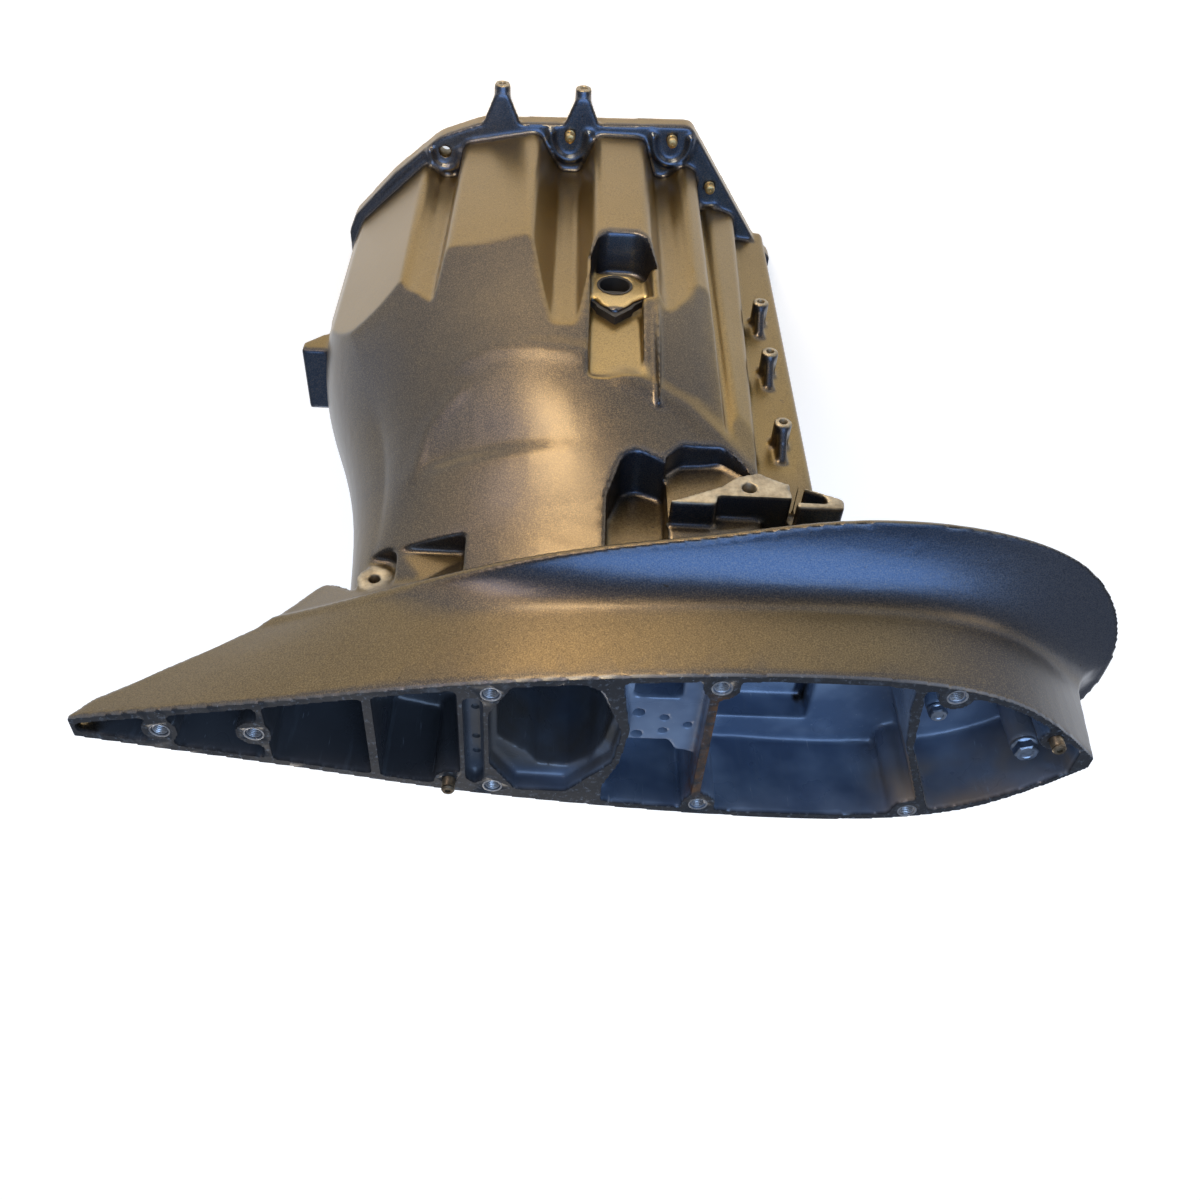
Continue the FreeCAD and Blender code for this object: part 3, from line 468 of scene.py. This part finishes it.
class Nodes:
    """Short way to lay out a material's nodes."""

    def __init__(self, name):
        self.material = bpy.data.materials.new(name)
        self.material.use_nodes = True
        self.tree = self.material.node_tree
        self.shader = self.tree.nodes["Principled BSDF"]
        self.place = self.new("ShaderNodeTexCoord").outputs["Object"]

    def new(self, kind, **settings):
        node = self.tree.nodes.new(kind)
        for key, value in settings.items():
            setattr(node, key, value)
        return node

    def link(self, source, target):
        self.tree.links.new(source, target)

    def noise(self, scale, detail=2.0, roughness=0.5, stretch=None):
        node = self.new("ShaderNodeTexNoise")
        node.inputs["Scale"].default_value = scale
        node.inputs["Detail"].default_value = detail
        node.inputs["Roughness"].default_value = roughness
        source = self.place
        if stretch is not None:
            mapping = self.new("ShaderNodeMapping")
            mapping.inputs["Scale"].default_value = stretch
            self.link(source, mapping.inputs["Vector"])
            source = mapping.outputs["Vector"]
        self.link(source, node.inputs["Vector"])
        return node.outputs["Fac"]

    def ramp(self, source, low, high, low_value=0.0, high_value=1.0):
        node = self.new("ShaderNodeMapRange")
        node.inputs["From Min"].default_value = low
        node.inputs["From Max"].default_value = high
        node.inputs["To Min"].default_value = low_value
        node.inputs["To Max"].default_value = high_value
        self.link(source, node.inputs["Value"])
        return node.outputs["Result"]

    def math(self, operation, a, b):
        node = self.new("ShaderNodeMath", operation=operation)
        for socket, value in zip(node.inputs, (a, b)):
            if isinstance(value, (int, float)):
                socket.default_value = value
            else:
                self.link(value, socket)
        return node.outputs[0]

    def mix(self, share, a, b):
        node = self.new("ShaderNodeMix", data_type="RGBA")
        for socket, value in zip((node.inputs[0], node.inputs[6], node.inputs[7]), (share, a, b)):
            if isinstance(value, (int, float)):
                socket.default_value = value
            elif isinstance(value, tuple):
                socket.default_value = (*value, 1.0)
            else:
                self.link(value, socket)
        return node.outputs[2]

    def between(self, share, a, b):
        """Number part of the way from one to another, each a number or a socket."""
        node = self.new("ShaderNodeMix", data_type="FLOAT")
        for socket, value in zip((node.inputs[0], node.inputs[2], node.inputs[3]), (share, a, b)):
            if isinstance(value, (int, float)):
                socket.default_value = value
            else:
                self.link(value, socket)
        return node.outputs[0]

    def attribute(self, name):
        return self.new("ShaderNodeAttribute", attribute_name=name).outputs["Fac"]

    def bump(self, height, strength, distance):
        node = self.new("ShaderNodeBump")
        node.inputs["Strength"].default_value = strength
        node.inputs["Distance"].default_value = distance
        self.link(height, node.inputs["Height"])
        self.link(node.outputs["Normal"], self.shader.inputs["Normal"])

    def to(self, socket, value):
        if isinstance(value, (int, float)):
            self.shader.inputs[socket].default_value = value
        elif isinstance(value, tuple):
            self.shader.inputs[socket].default_value = (*value, 1.0)
        else:
            self.link(value, self.shader.inputs[socket])


# Paint with light and shade painted in by facing: gold painted highlight on upright surfaces, bronze painted
# shade on leaning ones and slate painted sky reflection on upward-facing ones; then the chambers' dark paint
# and its tones
PAINTED_LIGHT_GOLD, PAINTED_SHADE_BRONZE, PAINTED_SKY_SLATE = (0.200, 0.132, 0.040), (0.058, 0.049, 0.042), (0.060, 0.090, 0.152)
FLAKE = (0.46, 0.35, 0.18)
NAVY_LOW, NAVY_HIGH, RIM = (0.105, 0.150, 0.235), (0.280, 0.350, 0.460), (0.026, 0.028, 0.033)
# The third colour here is the gold of the painted highlight on the outlet pad and niche panel
CHARCOAL, UMBER, PAINTED_HIGHLIGHT_GOLD = (0.058, 0.057, 0.058), (0.430, 0.330, 0.240), (0.540, 0.395, 0.170)
# Painted light grey for the flange's underside and the plate's nose, and painted shade for the skirt near the
# nose
PAINTED_LIGHT_GREY, PAINTED_NOSE_SHADE = (0.150, 0.155, 0.180), (0.040, 0.042, 0.052)
SOOT, RUST = (0.095, 0.083, 0.070), (0.17, 0.075, 0.028)


def casing_paint():
    """Metallic bronze paint outside with light and shade painted in, worn dark paint in the chambers, bare
    metal on the machined pads.
    """
    n = Nodes("casing_paint")
    flake = n.noise(1300, 1.0)
    tilt = n.attribute("tilt")
    # Painted light: share of gold painted highlight on upright faces, the rest bronze painted shade, with less
    # gold on the lower hull
    side = n.math("MULTIPLY", n.ramp(tilt, 0.20, 0.05), n.ramp(n.attribute("upper"), 0.0, 1.0, 0.45, 1.0))
    paint = n.mix(n.ramp(n.noise(9, 3.0), 0.35, 0.65, 0.0, 0.08), n.mix(side, PAINTED_SHADE_BRONZE, PAINTED_LIGHT_GOLD), FLAKE)
    # Painted reflection: blue-grey sky reflection on upward-facing faces
    paint = n.mix(n.math("MULTIPLY", n.ramp(tilt, 0.35, 0.85), n.attribute("sky_reflection_share")), paint, PAINTED_SKY_SLATE)
    # Painted light: lighter grey on the flange's underside and the plate's nose
    paint = n.mix(n.attribute("painted_light_grey_share"), paint, PAINTED_LIGHT_GREY)
    # Painted shade on the skirt near the nose
    paint = n.mix(n.attribute("nose_shade_share"), paint, PAINTED_NOSE_SHADE)
    # Painted highlight on the outlet pad and niche panel
    paint = n.mix(n.attribute("pad_highlight"), paint, PAINTED_HIGHLIGHT_GOLD)
    paint = n.mix(n.ramp(flake, 0.48, 0.72, 0.0, 0.16), paint, FLAKE)
    paint = n.mix(n.ramp(flake, 0.50, 0.28, 0.0, 0.35), paint, (0.020, 0.017, 0.014))
    speck = n.ramp(n.noise(240, 2.0), 0.755, 0.77)
    paint = n.mix(n.math("MULTIPLY", speck, 0.7), paint, (0.05, 0.04, 0.03))
    drips = n.ramp(n.noise(16, 4.0, 0.6, (9, 9, 0.8)), 0.58, 0.80)
    scratch = n.ramp(n.noise(70, 3.0, 0.7, (6, 6, 0.35)), 0.66, 0.76)
    dark = n.mix(n.ramp(n.noise(22, 3.0), 0.4, 0.7), NAVY_LOW, NAVY_HIGH)
    dark = n.mix(n.attribute("aft"), dark, CHARCOAL)
    brown = n.math("MULTIPLY", n.attribute("fore"), n.ramp(n.noise(26, 2.0), 0.35, 0.6, 0.25, 1.0))
    dark = n.mix(brown, dark, UMBER)
    dark = n.mix(n.attribute("face"), dark, RIM)
    dark = n.mix(n.math("MULTIPLY", drips, 0.30), dark, (0.22, 0.26, 0.31))
    dark = n.mix(n.math("MULTIPLY", scratch, 0.55), dark, (0.45, 0.51, 0.58))
    scuff = n.math("MULTIPLY", n.ramp(n.noise(300, 4.0, 0.7), 0.56, 0.68), n.attribute("face"))
    dark = n.mix(n.math("MULTIPLY", scuff, 0.35), dark, (0.32, 0.36, 0.42))
    soot = n.math("MULTIPLY", n.attribute("soot"), n.ramp(n.noise(34, 4.0, 0.6), 0.30, 0.62, 0.45, 1.0))
    dark = n.mix(soot, dark, SOOT)
    rust = n.math("MULTIPLY", n.attribute("rust"), n.ramp(n.noise(140, 4.0, 0.7), 0.38, 0.58))
    dark = n.mix(rust, dark, RUST)
    inside = n.attribute("inside")
    colour = n.mix(inside, paint, dark)
    bare = n.attribute("bare")
    cast = n.mix(n.ramp(n.noise(150, 4.0, 0.65), 0.35, 0.65), (0.24, 0.20, 0.135), (0.46, 0.395, 0.28))
    n.to("Base Color", n.mix(bare, colour, cast))
    n.to("Metallic", n.between(bare, n.ramp(inside, 0.0, 1.0, 0.90, 0.20), 0.85))
    rough = n.ramp(flake, 0.3, 0.7, 0.29, 0.38)
    dark_rough = n.ramp(n.noise(30, 3.0), 0.35, 0.7, 0.24, 0.46)
    n.to("Roughness", n.between(bare, n.between(inside, rough, dark_rough), 0.5))
    n.to("Coat Weight", 0.12)
    n.to("Coat Roughness", 0.16)
    peel = n.math("ADD", n.math("MULTIPLY", n.noise(420, 2.0), 0.6), n.math("MULTIPLY", n.noise(55, 2.0), 0.8))
    grit = n.math("MULTIPLY", n.math("MULTIPLY", n.noise(700, 4.0, 0.7), bare), 2.5)
    n.bump(n.math("ADD", peel, grit), 0.16, 0.0006)
    return n.material


def metal(name, colour, dark, rough):
    """Turned or plated metal with worn patches and fine tool marks."""
    n = Nodes(name)
    wear = n.ramp(n.noise(180, 3.0), 0.35, 0.7)
    n.to("Base Color", n.mix(wear, dark, colour))
    n.to("Metallic", 0.9)
    n.to("Roughness", n.ramp(n.noise(320, 2.0), 0.3, 0.7, rough - 0.08, rough + 0.14))
    n.bump(n.noise(900, 2.0), 0.1, 0.0002)
    return n.material


def rubber(name):
    n = Nodes(name)
    n.to("Base Color", n.mix(n.noise(120, 3.0), (0.010, 0.010, 0.011), (0.028, 0.027, 0.027)))
    n.to("Roughness", n.ramp(n.noise(200, 2.0), 0.3, 0.7, 0.45, 0.7))
    n.bump(n.noise(700, 2.0), 0.12, 0.0003)
    return n.material


# Near the object, where the shadow falls, and far from it
FLOOR_GLOW = (0.62, 0.82)


def pale_floor():
    """Matt pale floor that reads as white to the camera and in reflections, and keeps the shadow."""
    n = Nodes("pale_floor")
    n.to("Base Color", n.mix(n.noise(3, 2.0), (0.80, 0.80, 0.80), (0.82, 0.82, 0.82)))
    n.to("Roughness", 0.9)
    n.to("Specular IOR Level", 0.1)
    path = n.new("ShaderNodeLightPath")
    seen = n.math("MAXIMUM", path.outputs["Is Camera Ray"], path.outputs["Is Glossy Ray"])
    seen = n.math("MAXIMUM", seen, path.outputs["Is Transmission Ray"])
    away = n.new("ShaderNodeVectorMath", operation="LENGTH")
    n.link(n.place, away.inputs[0])
    glow = n.new("ShaderNodeEmission")
    strength = n.math("MULTIPLY", seen, n.ramp(away.outputs["Value"], 0.45, 1.2, *FLOOR_GLOW))
    n.link(strength, glow.inputs["Strength"])
    both = n.new("ShaderNodeAddShader")
    n.link(n.shader.outputs["BSDF"], both.inputs[0])
    n.link(glow.outputs["Emission"], both.inputs[1])
    n.link(both.outputs["Shader"], n.tree.nodes["Material Output"].inputs["Surface"])
    return n.material


def finish(obj, material, replaces, crease):
    """Material, smooth shading with creases over an angle, body, slot and the node it stands for."""
    obj.data.materials.clear()
    obj.data.materials.append(material)
    mesh = obj.data
    mesh.polygons.foreach_set("material_index", [0] * len(mesh.polygons))
    mesh.polygons.foreach_set("use_smooth", [True] * len(mesh.polygons))
    mesh.set_sharp_from_angle(angle=math.radians(crease))
    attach(obj, "root")
    if replaces:
        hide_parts(replaces)
    return obj


finish(casting, casing_paint(), None, 48)

# Small hardware

RING = metal("bare_ring", (0.62, 0.64, 0.68), (0.34, 0.35, 0.38), 0.32)
DOWEL = metal("dowel_steel", (0.30, 0.25, 0.18), (0.12, 0.09, 0.06), 0.42)
PLATED = metal("stud_plating", (0.66, 0.52, 0.27), (0.40, 0.28, 0.12), 0.36)
STEEL = metal("bolt_steel", (0.50, 0.56, 0.66), (0.24, 0.28, 0.34), 0.34)
RUBBER = rubber("grommet_rubber")


def thread(i, place, way, radius, depth, ring):
    """Bright chamfer and turned thread in a tapped hole, as one closed sleeve."""
    profile = [(radius + 1.3, -0.12), (radius + ring, 0.02), (radius + 0.25, 0.9)]
    along = 1.2
    while along < depth * 0.7:
        profile += [(radius - 0.45, along), (radius + 0.1, along + 0.6)]
        along += 1.25
    profile += [(radius + 0.35, along), (radius + 0.35, 1.6), (radius + ring + 0.35, 0.5),
                (radius + ring + 1.2, 0.1)]
    return lathe(f"thread_{i}", profile, place, way, 32, capped=False)


gear_threads = joined("gear_threads", [
    thread(i, (x, y, HEIGHT), (0, 0, -1), 4.25, 28, 0.75) for i, (x, y) in enumerate(GEAR_BOLTS)
])
finish(gear_threads, RING, None, 35)

# (radius, height over the gearcase face)
DOWEL_PROFILE = [
    (3.9, -10), (4.0, -9.5), (4.0, 5.6), (3.86, 5.8), (4.0, 6.1), (4.0, 6.9), (3.2, 8.0), (1.7, 8.0),
    (1.5, 6.4), (0.6, 6.2),
]
dowel_pins = joined("dowel_pins", [
    lathe(f"dowel_{i}", DOWEL_PROFILE, (x, y, HEIGHT), (0, 0, 1), 40) for i, (x, y) in enumerate(DOWELS)
])
finish(dowel_pins, DOWEL, "locating_dowels", 35)

# (radius, height over the powerhead face)
STUD_PROFILE = [
    (4.0, 0), (4.0, 15.3), (3.5, 15.5), (3.5, 17.4), (4.0, 17.9), (4.0, 21.2), (3.4, 22.4), (2.0, 23.0),
    (0.8, 22.9), (0.5, 22.4),
]
stud_ends = joined("stud_ends", [
    lathe(f"stud_{i}", STUD_PROFILE, (x, side * y, 0), (0, 0, 1), 32)
    for side in (STARBOARD, PORT)
    for i, (x, y) in enumerate(STUDS)
])
finish(stud_ends, PLATED, "flange_studs", 35)


def hex_bolt(name, spot, seat, shank, collar, flats, tall, replaces):
    """Flanged hexagon head with a chamfered top and a shallow dish, on its shank."""
    x, y = spot
    corner = flats / math.cos(math.pi / 6)
    body = lathe(f"{name}_shank", [
        (shank * 0.98, -20), (shank, -19.6), (shank, 0.0), (collar * 0.93, 0.0), (collar, 0.4),
        (collar * 0.96, 1.1), (flats * 1.02, 1.9), (flats * 0.9, 2.2),
    ], (x, y, seat), (0, 0, 1), 40)
    rings = []
    for reaches, up in (
        ((corner, flats), 1.2), ((corner, flats), tall - 0.9), ((flats * 0.95,) * 2, tall),
        ((flats * 0.62,) * 2, tall), ((flats * 0.5,) * 2, tall - 0.5),
    ):
        turns = [2 * math.pi * k / 12 + 0.35 for k in range(12)]
        rings.append([
            at(x + reaches[k % 2] * math.cos(turn), y + reaches[k % 2] * math.sin(turn), seat + up)
            for k, turn in enumerate(turns)
        ])
    return finish(joined(name, [body, tube(f"{name}_head", rings)]), STEEL, replaces, 30)


hex_bolt("small_bolt", (-234, -1), CHAMBER_FLOOR + 24, 3.0, 6.1, 5.0, 5.8, "nose_bolt_small")
hex_bolt("large_bolt", (-287, 10.5), CHAMBER_FLOOR + 40, 4.0, 8.3, 6.5, 7.2, "nose_bolt_large")

# Rubber at the outlet: the sleeve in the bore, and a black rubber lip below the raised pad that is painted
# shade, set where the pad's shade falls
SLEEVE_PROFILE = [
    (12.0, 0), (12.0, 17.6), (12.3, 17.8), (12.3, 18.3), (10.9, 18.4), (10.4, 17.9), (10.4, 0),
]
sleeve = lathe("sleeve", SLEEVE_PROFILE, (OUTLET_X, -NICHE_FACE + 10, OUTLET_Z), (0, -1, 0), 40, capped=False)
# Outline of the black painted-shade lip below the pad
PAD_SHADE_OUTLINE = [(-21.5, 12), (-13, 21.5), (-12, 25), (0, 37), (12, 25), (13, 21.5), (21.5, 12), (21.5, 4), (-21.5, 4)]
lip = tube("lip", [
    [at(OUTLET_X + u, y, OUTLET_Z + v) for u, v in PAD_SHADE_OUTLINE]
    for y in (-NICHE_FACE - PAD_HEIGHT + 2.2, -NICHE_FACE + 0.5)
])
finish(joined("outlet_rubber_and_pad_shade", [sleeve, lip]), RUBBER, "outlet_grommet", 40)

# Floor, camera and light

bpy.ops.mesh.primitive_plane_add(size=30, location=(0, 0, 0))
ground = bpy.context.object
ground.name = "floor"
ground.data.materials.append(pale_floor())

camera_data = bpy.data.cameras.new("camera")
camera_data.sensor_width = 36
camera_data.lens = 33.9
camera = bpy.data.objects.new("camera", camera_data)
scene.collection.objects.link(camera)
right = Vector((-0.998311, -0.058317, 0.000138))
up = Vector((0.040521, -0.695367, -0.717512))
back = Vector((0.041939, -0.716285, 0.696547))
eye = Vector((AFT_SHIFT * MM, -0.5227, 0.8915))
camera.matrix_world = Matrix((
    (right.x, up.x, back.x, eye.x),
    (right.y, up.y, back.y, eye.y),
    (right.z, up.z, back.z, eye.z),
    (0, 0, 0, 1),
))
scene.camera = camera


def area_light(name, place, target, size, power, colour):
    data = bpy.data.lights.new(name, "AREA")
    data.shape = "DISK"
    data.size = size
    data.energy = power
    data.color = colour
    lamp = bpy.data.objects.new(name, data)
    scene.collection.objects.link(lamp)
    lamp.location = place
    lamp.rotation_mode = "QUATERNION"
    lamp.rotation_quaternion = (Vector(target) - Vector(place)).to_track_quat("-Z", "Y")


area_light("dish", (0.95, -2.0, 0.62), (0, -0.1, 0.25), 0.7, 8.5, (1.0, 0.84, 0.80))
area_light("key", (1.3, -1.3, 0.35), (0, -0.1, 0.12), 0.7, 0.8, (1.0, 0.80, 0.54))
area_light("nose", (-1.4, -1.2, 0.4), (0, -0.1, 0.15), 0.7, 2, (1.0, 0.84, 0.62))
area_light("ribs", (0.12, -0.60, 0.28), (0.02, -0.27, 0.0), 0.2, 2.2, (1.0, 0.74, 0.40))
area_light("port", (0.5, 2.2, 0.9), (0, 0.1, 0.2), 1.2, 10, (1.0, 0.90, 0.78))
area_light("overhead", (-0.3, -0.6, 2.4), (0, 0, 0.4), 2.0, 30, (0.42, 0.64, 1.0))

world = bpy.data.worlds.new("world")
scene.world = world
world.use_nodes = True
background = world.node_tree.nodes["Background"]
background.inputs["Color"].default_value = (0.86, 0.91, 1.0, 1.0)
background.inputs["Strength"].default_value = 0.25

scene.view_settings.view_transform = "Standard"
